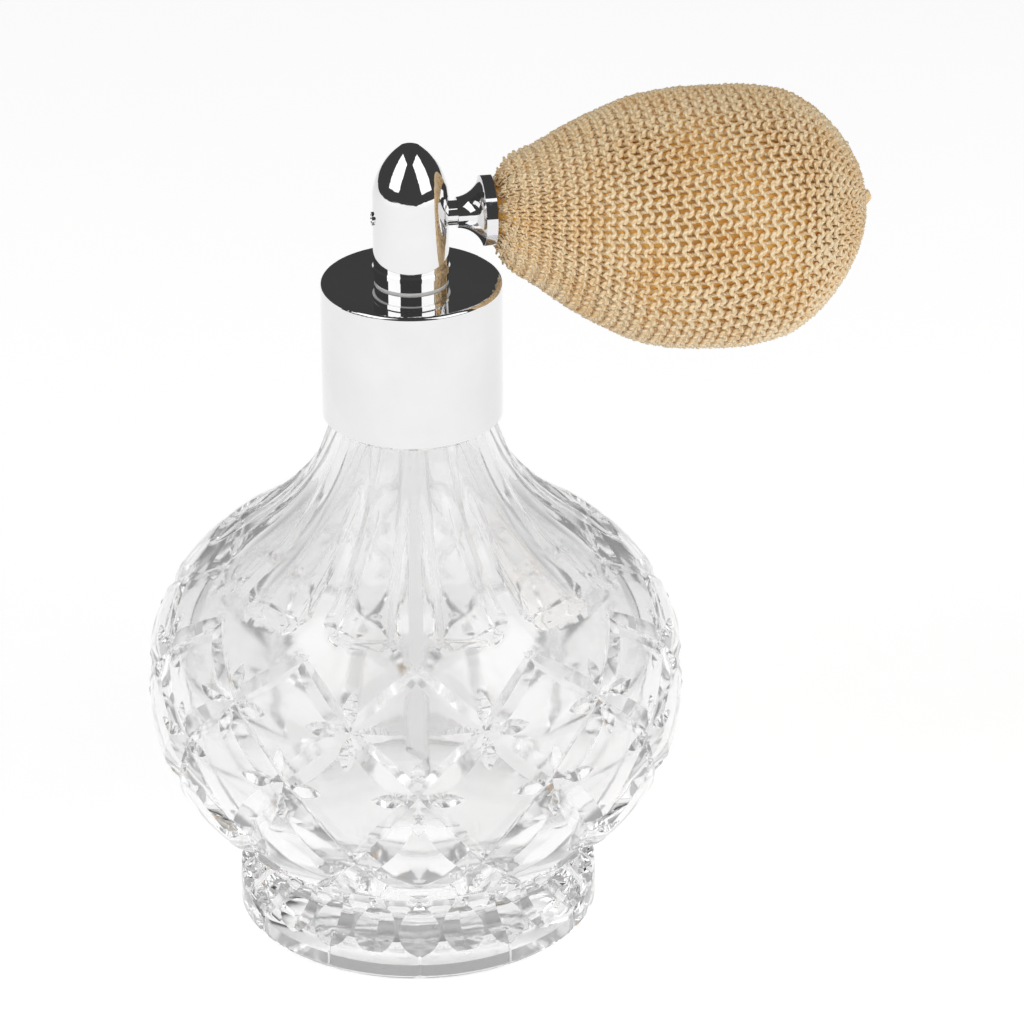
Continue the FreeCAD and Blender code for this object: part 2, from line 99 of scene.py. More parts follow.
PETAL_BOTTOM_Z = 54.5
PETAL_ROUND = 8.2
PETAL_DEPTH = ((11, 0.12), (14, 0.4), (20, 0.95), (28, 1.35), (33, 1.5))   # by radius
PETAL_LAND_SHARE = 0.16
PETAL_SOFTNESS = 0.14
PETAL_FLATNESS = 4
PETAL_TRIM = 0.01               # takes the soft edge's last trace off the lands

FOOT_LIFT = 0.02                # a hair of air under the resting ring
FOOT_RECESS = ((23.6, 0.02), (23.1, 0.25), (21.5, 1.0), (16, 1.5), (10, 1.8), (5, 1.9), (2, 1.95))
FOOT_CUT_LOW_Z = 3.9
FOOT_CUT_HIGH_Z = 9.9
FOOT_CUT_SLOPE = 0.42
FOOT_CUT_SHARE = 0.47           # greatest half width, as a share of a column

MESH_SPACING = 0.5
CLOSEST_POINTS = 0.24
BARELY_CUT = 0.06               # shallower than this counts as uncut, and gets a coarser mesh
DRAWING_STRETCH = 8.0           # mm that a column's width of 1 gets in the flat drawing
SNAP = 1e-4
MERGE = 0.0008
SHARP_ANGLE = math.radians(17)


def steady_curve(points):
    """A smooth curve through the points that never overshoots, as a function of the first value."""
    x = np.array([p[0] for p in points], float)
    y = np.array([p[1] for p in points], float)
    step = np.diff(x)
    rise = np.diff(y) / step
    slope = np.zeros(len(x))
    slope[0], slope[-1] = rise[0], rise[-1]
    for i in range(1, len(x) - 1):
        if rise[i - 1] * rise[i] > 0:
            before, after = 2 * step[i] + step[i - 1], step[i] + 2 * step[i - 1]
            slope[i] = (before + after) / (before / rise[i - 1] + after / rise[i])

    def value(at):
        i = np.clip(np.searchsorted(x, at, side="right") - 1, 0, len(x) - 2)
        t = (at - x[i]) / step[i]
        return (
            (2 * t ** 3 - 3 * t ** 2 + 1) * y[i]
            + (t ** 3 - 2 * t ** 2 + t) * step[i] * slope[i]
            + (3 * t ** 2 - 2 * t ** 3) * y[i + 1]
            + (t ** 3 - t ** 2) * step[i] * slope[i + 1]
        )

    return value


def add_object(name, data):
    thing = bpy.data.objects.new(name, data)
    bpy.context.scene.collection.objects.link(thing)
    return thing


def tidy_mesh(mesh, merge=0.0):
    """Merges points closer than merge, in mm, and turns every face outward."""
    work = bmesh.new()
    work.from_mesh(mesh)
    if merge:
        bmesh.ops.remove_doubles(work, verts=work.verts, dist=merge * MM)
    bmesh.ops.recalc_face_normals(work, faces=work.faces)
    work.to_mesh(mesh)
    work.free()


def mesh_piece(name, points, faces, body, material, merge=0.0):
    """A named mesh object from points in mm, riding on a body."""
    mesh = bpy.data.meshes.new(name)
    mesh.from_pydata([tuple(c * MM for c in p) for p in points], [], [tuple(f) for f in faces])
    mesh.validate()
    mesh.update()
    piece = add_object(name, mesh)
    mesh.materials.append(material)
    mesh.polygons.foreach_set("use_smooth", [True] * len(mesh.polygons))
    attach(piece, body)
    tidy_mesh(mesh, merge)
    return piece


# ------------------------------------------------------------------ node tools
def new_material(name):
    material = bpy.data.materials.new(name)
    material.use_nodes = True
    shader = material.node_tree.nodes["Principled BSDF"]
    return material, material.node_tree, shader


def add_node(tree, kind, **values):
    """A node with these settings and unlinked inputs; a space in a name is written as _."""
    node = tree.nodes.new(kind)
    for name, value in values.items():
        label = name.replace("_", " ")
        if label in node.inputs:
            node.inputs[label].default_value = value
        else:
            setattr(node, name, value)
    return node


def feed(tree, given, socket):
    """Sets a socket to a number, or joins it to another node's output."""
    if isinstance(given, float):
        socket.default_value = given
    else:
        tree.links.new(given, socket)


def maths(tree, operation, *terms, **settings):
    """The result of a sum on numbers or other nodes' outputs."""
    node = add_node(tree, "ShaderNodeMath", operation=operation, **settings)
    for term, socket in zip(terms, node.inputs):
        feed(tree, term, socket)
    return node.outputs[0]


def remap(tree, value, low, high, **settings):
    """The value carried from low..high to 0..1, or to the range in the settings."""
    node = add_node(tree, "ShaderNodeMapRange", From_Min=low, From_Max=high, **settings)
    feed(tree, value, node.inputs["Value"])
    return node.outputs["Result"]


def noise(tree, place, scale, **settings):
    node = add_node(tree, "ShaderNodeTexNoise", **settings)
    feed(tree, place, node.inputs["Vector"])
    feed(tree, scale, node.inputs["Scale"])
    return node.outputs["Fac"]


def object_place(tree):
    return add_node(tree, "ShaderNodeTexCoord").outputs["Object"]


def new_group(name, inputs, outputs):
    """An empty node group with named sockets: (name, kind, default) in, (name, kind) out."""
    group = bpy.data.node_groups.new(name, "ShaderNodeTree")
    for label, kind, default in inputs:
        socket = group.interface.new_socket(label, in_out="INPUT", socket_type=kind)
        socket.default_value = default
    for label, kind in outputs:
        group.interface.new_socket(label, in_out="OUTPUT", socket_type=kind)
    return group, group.nodes.new("NodeGroupInput"), group.nodes.new("NodeGroupOutput")


def place_group(tree, group, **values):
    node = tree.nodes.new("ShaderNodeGroup")
    node.node_tree = group
    for name, value in values.items():
        node.inputs[name.replace("_", " ")].default_value = value
    return node


FLOAT, COLOR = "NodeSocketFloat", "NodeSocketColor"


def handling_marks_group():
    """Faint smears and hairline scratches: how rough and how uneven a polished surface is."""
    group, given, result = new_group(
        "Handling marks",
        [("Polish", FLOAT, 0.05), ("Smears", FLOAT, 0.05), ("Smear Size", FLOAT, 90.0),
         ("Scratches", FLOAT, 0.05), ("Scratch Size", FLOAT, 700.0)],
        [("Roughness", FLOAT), ("Height", FLOAT)],
    )
    link = group.links.new
    ask = given.outputs
    place = object_place(group)
    smears = noise(group, place, ask["Smear Size"], Detail=4.0, Roughness=0.55, Distortion=0.6)
    smear = maths(group, "MULTIPLY", remap(group, smears, 0.48, 0.75), ask["Smears"])
    stretch = add_node(group, "ShaderNodeMapping", Rotation=(0.4, 0.9, 0.3), Scale=(1.0, 0.06, 1.0))
    link(place, stretch.inputs["Vector"])
    lines = noise(group, stretch.outputs["Vector"], ask["Scratch Size"], Detail=2.0, Roughness=0.5)
    scratch = maths(group, "MULTIPLY", remap(group, lines, 0.64, 0.74), ask["Scratches"])
    smeared = maths(group, "ADD", ask["Polish"], smear)
    link(maths(group, "ADD", smeared, scratch), result.inputs["Roughness"])
    link(scratch, result.inputs["Height"])
    return group


def mottle_group():
    """Two tones of one material that drift into each other, with a fine grain."""
    group, given, result = new_group(
        "Mottle",
        [("Light", COLOR, (0.8, 0.8, 0.8, 1)), ("Dark", COLOR, (0.5, 0.5, 0.5, 1)),
         ("Patch Size", FLOAT, 60.0), ("Grain Size", FLOAT, 900.0), ("Grain", FLOAT, 0.3)],
        [("Color", COLOR), ("Height", FLOAT)],
    )
    link = group.links.new
    ask = given.outputs
    place = object_place(group)
    patches = noise(group, place, ask["Patch Size"], Detail=3.0, Roughness=0.6)
    grain = noise(group, place, ask["Grain Size"], Detail=2.0, Roughness=0.6)
    fine = maths(group, "MULTIPLY", grain, ask["Grain"])
    share = maths(group, "ADD", remap(group, patches, 0.32, 0.68), fine, use_clamp=True)
    tone = add_node(group, "ShaderNodeMix", data_type="RGBA")
    link(share, tone.inputs["Factor"])
    link(ask["Light"], tone.inputs["A"])
    link(ask["Dark"], tone.inputs["B"])
    link(tone.outputs["Result"], result.inputs["Color"])
    link(grain, result.inputs["Height"])
    return group


def spun_yarn_group():
    """A twisted yarn: slanting plies along the yarn map, with soft fibres over them, and painted light in
    its colour: the light tone on the ply crests is painted highlight, the dark tone in the grooves painted
    shade.
    """
    # here Light is the yarn's painted highlight tone and Dark its painted shaded tone
    group, given, result = new_group(
        "Spun yarn with painted ply shade",
        [("Light", COLOR, (0.8, 0.7, 0.5, 1)), ("Dark", COLOR, (0.5, 0.4, 0.2, 1)),
         ("Plies", FLOAT, 3.0), ("Twist", FLOAT, 0.9)],
        [("Color", COLOR), ("Height", FLOAT), ("Roughness", FLOAT)],
    )
    link = group.links.new
    ask = given.outputs
    split = add_node(group, "ShaderNodeSeparateXYZ")
    link(add_node(group, "ShaderNodeUVMap", uv_map="yarn").outputs["UV"], split.inputs["Vector"])
    slope = maths(group, "MULTIPLY", split.outputs["X"], ask["Twist"])
    slant = maths(group, "ADD", slope, split.outputs["Y"])
    turn = maths(group, "MULTIPLY", maths(group, "MULTIPLY", slant, ask["Plies"]), TURN)
    wave = maths(group, "COSINE", turn)
    ply = remap(group, wave, -1.0, 0.5, interpolation_type="SMOOTHSTEP")
    place = object_place(group)
    fibres = noise(group, place, 2600.0, Detail=3.0, Roughness=0.7)
    patches = noise(group, place, 160.0, Detail=2.0)
    height = maths(group, "ADD", ply, maths(group, "MULTIPLY", fibres, 0.55))
    # painted highlight and shade: the tone follows the ply crests and grooves, mixed with random patches of
    # the yarn's own tone
    ply_shade_and_tone = maths(group, "MULTIPLY_ADD", ply, 0.45, patches)
    tone = add_node(group, "ShaderNodeMix", data_type="RGBA")
    link(remap(group, ply_shade_and_tone, 0.35, 0.95), tone.inputs["Factor"])
    link(ask["Dark"], tone.inputs["A"])
    link(ask["Light"], tone.inputs["B"])
    link(tone.outputs["Result"], result.inputs["Color"])
    link(height, result.inputs["Height"])
    link(remap(group, ply, 0.0, 1.0, To_Min=0.52, To_Max=0.30), result.inputs["Roughness"])
    return group


HANDLING_MARKS = handling_marks_group()
MOTTLE = mottle_group()
SPUN_YARN = spun_yarn_group()


def bump(tree, shader, height_socket, strength, distance_mm):
    relief = add_node(tree, "ShaderNodeBump", Strength=strength, Distance=distance_mm * MM)
    tree.links.new(height_socket, relief.inputs["Height"])
    tree.links.new(relief.outputs["Normal"], shader.inputs["Normal"])


def set_shader(shader, **values):
    for name, value in values.items():
        shader.inputs[name.replace("_", " ")].default_value = value


def colour_and_polish(tree, shader, tone, marks):
    tree.links.new(tone.outputs["Color"], shader.inputs["Base Color"])
    tree.links.new(marks.outputs["Roughness"], shader.inputs["Roughness"])


def plated_metal(name, light, dark, polish, smears, scratches):
    """Polished plating with faint smears, hairlines and a slight drift in its tone."""
    material, tree, shader = new_material(name)
    set_shader(shader, Metallic=1.0)
    tone = place_group(tree, MOTTLE, Light=light, Dark=dark, Patch_Size=70.0, Grain=0.1)
    marks = place_group(tree, HANDLING_MARKS, Polish=polish, Smears=smears, Scratches=scratches)
    colour_and_polish(tree, shader, tone, marks)
    bump(tree, shader, marks.outputs["Height"], 0.15, 0.01)
    return material


def plain_polymer(name, light, dark, polish, transmission=0.0, subsurface=0.0):
    """Moulded plastic or rubber with a fine grain."""
    material, tree, shader = new_material(name)
    set_shader(shader, Transmission_Weight=transmission, IOR=1.5)
    if subsurface:
        set_shader(shader, Subsurface_Weight=subsurface, Subsurface_Scale=1.5 * MM)
        set_shader(shader, Subsurface_Radius=(1.0, 0.6, 0.3))
    tone = place_group(
        tree, MOTTLE, Light=light, Dark=dark, Patch_Size=150.0, Grain_Size=1500.0, Grain=0.35)
    marks = place_group(tree, HANDLING_MARKS, Polish=polish, Smears=0.12, Scratches=0.06)
    colour_and_polish(tree, shader, tone, marks)
    bump(tree, shader, tone.outputs["Height"], 0.25, 0.02)
    return material


LONG_GLASS_PATH = 5.5           # bounces; light that is inside the glass for longer just leaves it
CLEAR = (0.935, 0.935, 0.935, 1)


def cut_crystal(name, polish, wave_size, wave_depth):
    """Clear crystal, a little uneven, that lets its shadow stay light."""
    material, tree, shader = new_material(name)
    set_shader(shader, Transmission_Weight=1.0, IOR=1.52)
    tone = place_group(tree, MOTTLE, Light=(0.94, 0.94, 0.94, 1), Dark=(0.90, 0.90, 0.90, 1),
                       Patch_Size=40.0, Grain=0.1)
    marks = place_group(tree, HANDLING_MARKS, Polish=polish, Smears=0.025, Smear_Size=60.0,
                        Scratches=0.05, Scratch_Size=500.0)
    colour_and_polish(tree, shader, tone, marks)
    waves = noise(tree, object_place(tree), wave_size, Detail=1.5, Roughness=0.45)
    bump(tree, shader, waves, 0.35, wave_depth)
    clear = add_node(tree, "ShaderNodeBsdfTransparent", Color=CLEAR)
    path = add_node(tree, "ShaderNodeLightPath").outputs
    long_inside = maths(tree, "GREATER_THAN", path["Ray Depth"], LONG_GLASS_PATH)
    passes = maths(tree, "MAXIMUM", path["Is Shadow Ray"], long_inside)
    mix = add_node(tree, "ShaderNodeMixShader")
    for given, socket in zip((passes, shader.outputs["BSDF"], clear.outputs["BSDF"]), mix.inputs):
        tree.links.new(given, socket)
    tree.links.new(mix.outputs["Shader"], tree.nodes["Material Output"].inputs["Surface"])
    return material


def knitting_yarn():
    """Lustrous apricot cotton, two plies twisted together, with painted highlight on the ply crests and
    painted shade in the grooves.
    """
    material, tree, shader = new_material("apricot_yarn")
    set_shader(shader, Coat_Weight=0.5, Coat_Roughness=0.22, Coat_IOR=1.5, Specular_IOR_Level=0.6)
    set_shader(shader, Sheen_Weight=0.3, Sheen_Roughness=0.35)
    set_shader(shader, Sheen_Tint=(1.0, 0.93, 0.80, 1))
    # the light tone is the yarn's painted highlight colour, the dark tone its painted shaded side
    yarn = place_group(tree, SPUN_YARN, Light=(0.95, 0.77, 0.50, 1), Dark=(0.84, 0.52, 0.20, 1),
                       Plies=2.0, Twist=0.62)
    colour_and_polish(tree, shader, yarn, yarn)
    bump(tree, shader, yarn.outputs["Height"], 0.8, 0.11)
    return material


GLASS = cut_crystal("cut_crystal", 0.0, 130.0, 0.10)
GLASS_INSIDE = cut_crystal("pressed_crystal_inside", 0.10, 90.0, 0.35)
YARN = knitting_yarn()
CHROME = plated_metal("polished_chrome", (0.83, 0.83, 0.83, 1), (0.78, 0.78, 0.78, 1), 0.035, 0.05, 0.05)
DARK_CHROME = plated_metal("smoked_chrome", (0.80, 0.79, 0.80, 1), (0.70, 0.69, 0.70, 1), 0.05, 0.06, 0.06)
BRASS = plated_metal("turned_brass", (0.83, 0.62, 0.29, 1), (0.70, 0.48, 0.20, 1), 0.16, 0.15, 0.2)
SPRING_STEEL = plated_metal("spring_steel", (0.66, 0.66, 0.67, 1), (0.5, 0.5, 0.52, 1), 0.2, 0.1, 0.1)
# partly the rubber's own amber, partly painted light: the tone is lifted above the rubber's own to offset
# the shade between the net's loops
LATEX = plain_polymer("amber_latex", (1.0, 0.58, 0.14, 1), (0.94, 0.50, 0.10, 1), 0.42, subsurface=0.25)
SEAL_RUBBER = plain_polymer("black_seal_rubber", (0.045, 0.045, 0.048, 1), (0.02, 0.02, 0.022, 1), 0.5)
SOFT_SEAL = plain_polymer("white_soft_seal", (0.80, 0.80, 0.78, 1), (0.70, 0.70, 0.68, 1), 0.45)
LINER = plain_polymer("white_liner_plastic", (0.90, 0.90, 0.89, 1), (0.80, 0.80, 0.79, 1), 0.4)
WASHER = plain_polymer("white_washer_plastic", (0.85, 0.85, 0.84, 1), (0.74, 0.74, 0.73, 1), 0.35)
TUBE_PLASTIC = plain_polymer("clear_tube_plastic", (1.0, 1.0, 1.0, 1), (0.99, 0.99, 0.99, 1), 0.03,
                             transmission=1.0)

FINISHES = {
    "neck_gasket": SOFT_SEAL,
    "collar_shell": CHROME,
    "collar_insert": LINER,
    "head_core": BRASS,
    "head_shell": CHROME,
    "head_base_ring": CHROME,
    "swivel_washer": WASHER,
    "stem_retainer": SPRING_STEEL,
    "stem_o_ring": SEAL_RUBBER,
    "dip_tube": TUBE_PLASTIC,
    "liquid_jet": BRASS,
    "air_jet": BRASS,
    "nozzle_tip": CHROME,
    "connector_tube": DARK_CHROME,
    "connector_gasket": SEAL_RUBBER,
    "ferrule_cone": DARK_CHROME,
    "ferrule_ring": DARK_CHROME,
    "bulb_barb": BRASS,
    "intake_valve_body": BRASS,
    "intake_valve_ball": SPRING_STEEL,
    "intake_valve_cage": BRASS,
}
for node_name, finish in FINISHES.items():
    node_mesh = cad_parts[node_name].data
    node_mesh.materials.clear()
    node_mesh.materials.append(finish)


# ------------------------------------------------------------------ the bottle
class OutsideLine:
    """The bottle's outer outline from the foot's underside up to the neck, by length along it."""

    def __init__(self):
        waist = steady_curve(WAIST_OUTLINE)
        body = steady_curve(BODY_OUTLINE)
        foot_z = np.array([p[0] for p in FOOT_OUTLINE])
        foot_r = np.array([p[1] for p in FOOT_OUTLINE])
        z = np.linspace(0, BODY_OUTLINE[-1][0], 3000)
        r = np.where(z < foot_z[-1], np.interp(z, foot_z, foot_r),
                     np.where(z < BODY_OUTLINE[0][0], waist(z), body(z)))
        length = np.concatenate(([0], np.cumsum(np.hypot(np.diff(z), np.diff(r)))))
        dz, dr = np.gradient(z, length), np.gradient(r, length)
        size = np.hypot(dz, dr)
        self.z, self.r, self.length = z, r, length
        self.out_r, self.out_z = dz / size, -dr / size

    def total(self):
        return float(self.length[-1])

    def at_height(self, z):
        return float(np.interp(z, self.z, self.length))

    def height(self, s):
        return np.interp(s, self.length, self.z)

    def radius(self, s):
        return np.interp(s, self.length, self.r)

    def normal(self, s):
        return np.interp(s, self.length, self.out_r), np.interp(s, self.length, self.out_z)


class CutPattern:
    """How deep the cutter went at column t (in units) and length s (in mm) along the outline."""

    def __init__(self, line):
        self.line = line
        self.row_s = [line.at_height(z) for z in ROW_Z]
        self.petal_s = line.at_height(PETAL_BOTTOM_Z)
        self.foot_low = line.at_height(FOOT_CUT_LOW_Z)
        self.foot_high = line.at_height(FOOT_CUT_HIGH_Z)
        rows = np.arange(len(ROW_Z))
        order = np.argsort(self.row_s)
        self.rows_by_s = (np.array(self.row_s)[order], rows[order])
        widths = np.array(MITRE_HALF_WIDTHS, float)
        self.mitre_rows, self.mitre_widths = widths[:, 0], widths[:, 1]
        self.slope_rows, self.slopes = np.array(MITRE_SLOPES).T
        self.petal_radii, self.petal_depths = np.array(PETAL_DEPTH).T

    def unit_width(self, s):
        return UNIT_ANGLE * self.line.radius(s)

    def row(self, s):
        """Row number as a running value, 0 at the tips and 4 at the waist end."""
        s_list, rows = self.rows_by_s
        inside = np.interp(s, s_list, rows)
        above = s_list[-1]
        slope_up = (rows[-2] - rows[-1]) / (s_list[-1] - s_list[-2])
        return np.where(s > above, rows[-1] - (s - above) * slope_up, inside)

    def row_length(self, w):
        """Millimetres along the outline for one row at row value w."""
        s = np.array(self.row_s)
        i = np.clip(np.floor(w).astype(int), 0, len(s) - 2)
        return s[i] - s[i + 1]

    def mitre_half_width(self, w):
        """Half the width of a mitre cut, widest midway between two stars."""
        f = w - np.floor(w)
        base = np.interp(w, self.mitre_rows, self.mitre_widths)
        lens = base * (MITRE_NARROWEST + (1 - MITRE_NARROWEST) * np.sin(math.pi * f))
        tip = MITRE_NARROWEST * base + w * MITRE_TIP_WIDENING
        point = lens * np.clip((MITRE_END_ROW - w) / MITRE_TAPER_ROWS, 0, 1) ** 0.5
        return np.where(w < 0, tip, np.where(w > MITRE_TAPER_ROW, point, lens))

    def mitres(self, t, s):
        a, w = self.unit_width(s), self.row(s)
        b = self.row_length(np.clip(w, 0, 3.999))
        reach = a * b / np.hypot(a, b)
        depth = np.zeros_like(t)
        for sign in (1, -1):
            q = t + sign * w
            off = q - 2 * np.round(q / 2)
            foot_w = w - sign * off * a * a / (a * a + b * b)
            half = self.mitre_half_width(foot_w)
            slope = np.interp(foot_w, self.slope_rows, self.slopes)
            depth = np.maximum(depth, slope * (half - np.abs(off) * reach))
        return depth

    def arm_half_width(self, along, length):
        share = np.clip(along / length, 0, 1)
        return ARM_HALF_WIDTH * np.sin(math.pi * share ** 1.25) ** 0.8

    def arms(self, t, s):
        depth = np.zeros_like(t)
        for row, (sideways, upright) in ARM_LENGTHS.items():
            star_t, star_s = row % 2, self.row_s[row]
            across = np.abs(t - star_t) * self.unit_width(star_s)
            up = np.abs(s - star_s)
            side = self.arm_half_width(across, sideways) - up
            tall = self.arm_half_width(up, upright) - across
            depth = np.maximum(depth, ARM_SLOPE * np.where(across < sideways, side, -1))
            depth = np.maximum(depth, ARM_SLOPE * np.where(up < upright, tall, -1))
        return depth

    def petals(self, t, s):
        """Twelve concave petals, each centred on an odd column, with round lower ends."""
        end = np.minimum((s - self.petal_s) / PETAL_ROUND, 1)
        share = ((1 - t) / (1 - PETAL_LAND_SHARE)) ** PETAL_FLATNESS + (1 - end) ** PETAL_FLATNESS
        hollow = np.interp(self.line.radius(s), self.petal_radii, self.petal_depths) * (1 - share)
        return (hollow + np.hypot(hollow, PETAL_SOFTNESS)) / 2 - PETAL_TRIM

    def foot_half_width(self, s):
        share = np.clip((s - self.foot_low) / (self.foot_high - self.foot_low), 0, 1)
        return FOOT_CUT_SHARE * self.unit_width(s) * np.sin(math.pi * share) ** 0.55

    def foot_cuts(self, t, s):
        across = np.abs(t - np.round(t)) * self.unit_width(s)
        return FOOT_CUT_SLOPE * (self.foot_half_width(s) - across)

    def depth(self, t, s):
        t, s = np.asarray(t, float), np.asarray(s, float)
        deepest = np.zeros_like(t)
        for cut in (self.mitres, self.arms, self.petals, self.foot_cuts):
            deepest = np.maximum(deepest, cut(t, s))
        return deepest

    # lines that the mesh follows: valleys and edges of the cuts, as lists of (t, s)
    def mitre_lines(self):
        lines = []
        for k in range(4):
            start, end = (k % 2, k), ((k + 1) % 2, k + 1)
            f = np.linspace(0, 1, 15)
            t = start[0] + (end[0] - start[0]) * f
            w = start[1] + f
            s = np.interp(w, range(len(self.row_s)), self.row_s)
            lines.append(list(zip(t, s)))
            a, b = self.unit_width(s), self.row_length(np.clip(w - 1e-6, 0, 3.999))
            half = self.mitre_half_width(np.clip(w, start[1] + 1e-6, end[1] - 1e-6))
            turn = end[0] - start[0]
            size = np.hypot(a, b)
            for side in (1, -1):
                lines.append(list(zip(t + side * turn * b / size * half / a, s + side * a / size * half)))
        return lines

    def arm_lines(self):
        lines = []
        for row, (sideways, upright) in ARM_LENGTHS.items():
            star_t, star_s = row % 2, self.row_s[row]
            a = self.unit_width(star_s)
            inward = 1 if star_t == 0 else -1
            for length, level in ((sideways, True), (upright, False)):
                along = np.linspace(0, length, 10)
                wide = self.arm_half_width(along, length)
                if level:
                    t = star_t + inward * along / a
                    lines.append(list(zip(t, np.full_like(t, star_s))))
                    lines.append(list(zip(t, star_s + wide)))
                    lines.append(list(zip(t, star_s - wide)))
                else:
                    for way in (1, -1):
                        lines.append(list(zip(star_t + inward * wide / a, star_s + way * along)))
        return lines

    def petal_lines(self):
        angle = np.linspace(0, math.pi / 2, 14)
        s = self.petal_s + PETAL_ROUND * (1 - np.cos(angle))
        round_end = list(zip(1 - (1 - PETAL_LAND_SHARE) * np.sin(angle), s))
        s = np.linspace(self.petal_s + PETAL_ROUND, self.line.total(), 18)
        side = [(PETAL_LAND_SHARE, at) for at in s]
        return [round_end, side]

    def foot_lines(self):
        s = np.linspace(self.foot_low, self.foot_high, 16)
        wide = self.foot_half_width(s) / self.unit_width(s)
        return [list(zip(wide, s)), list(zip(1 - wide, s))]


def clipped(points):
    """The stretches of a line inside one half column, cut exactly at its sides."""
    runs, run = [], []
    for (t0, s0), (t1, s1) in zip(points, points[1:]):
        t0, s0, t1, s1 = float(t0), float(s0), float(t1), float(s1)
        low, high = 0.0, 1.0
        if t1 != t0:
            cuts = sorted(((0 - t0) / (t1 - t0), (1 - t0) / (t1 - t0)))
            low, high = max(low, cuts[0]), min(high, cuts[1])
        elif not 0 <= t0 <= 1:
            low, high = 1.0, 0.0
        if low > high - 1e-9:
            if run:
                runs.append(run)
            run = []
            continue
        first = (min(max(t0 + (t1 - t0) * low, 0.0), 1.0), s0 + (s1 - s0) * low)
        last = (min(max(t0 + (t1 - t0) * high, 0.0), 1.0), s0 + (s1 - s0) * high)
        if not run:
            run = [first]
        run.append(last)
        if high < 1 - 1e-9:
            runs.append(run)
            run = []
    if run:
        runs.append(run)
    return runs


def half_column_mesh(pattern):
    """Points (t, s) and triangles of one half column, with edges along every cut."""
    line = pattern.line
    top = line.total()
    points, edges = [], []

    def add(t, s):
        points.append((t * DRAWING_STRETCH, s))
        return len(points) - 1

    paths = pattern.mitre_lines() + pattern.arm_lines() + pattern.petal_lines() + pattern.foot_lines()
    for path in paths:
        for run in clipped(path):
            ids = [add(t, s) for t, s in run]
            edges += list(zip(ids, ids[1:]))
    for z, _ in FOOT_OUTLINE[1:]:
        s = line.at_height(z)
        ids = [add(t, s) for t in np.linspace(0, 1, 9)]
        edges += list(zip(ids, ids[1:]))
    for s in (0.0, top):
        for t in np.linspace(0, 1, 7):
            add(float(t), s)
    taken_t, taken_s = np.array(points).T
    taken_across = taken_t / DRAWING_STRETCH * pattern.unit_width(taken_s)
    rows = np.arange(MESH_SPACING, top - 0.3 * MESH_SPACING, MESH_SPACING)
    fresh = []
    for number, s in enumerate(rows):
        a = float(pattern.unit_width(s))
        count = max(2, round(a / MESH_SPACING))
        shift = 0.5 if number % 2 else 0.0
        columns = {0.0, 1.0} | {(i + shift) / count for i in range(count + 1) if i + shift <= count}
        for place, t in enumerate(sorted(columns)):
            cut = float(pattern.depth(t, s)) > BARELY_CUT
            on_petal = s > pattern.petal_s
            coarse = number % 2 or place % 2
            if coarse and not (t in (0.0, 1.0) and number % 2 == 0) and (not cut or on_petal):
                continue
            if np.hypot(taken_across - t * a, taken_s - s).min() < CLOSEST_POINTS:
                continue
            fresh.append((t, float(s)))
    for t, s in fresh:
        add(t, s)
    flat, _, faces, _, _, _ = delaunay_2d_cdt([Vector(p) for p in points], edges, [], 0, 1e-5)
    t = np.array([p.x / DRAWING_STRETCH for p in flat])
    s = np.array([p.y for p in flat])
    for values, sides in ((t, (0.0, 1.0)), (s, (0.0, top))):
        for side in sides:
            values[np.abs(values - side) < SNAP] = side
    triangles = [f for f in faces if len({t[i] for i in f}) > 1 and len({s[i] for i in f}) > 1]
    return t, s, triangles


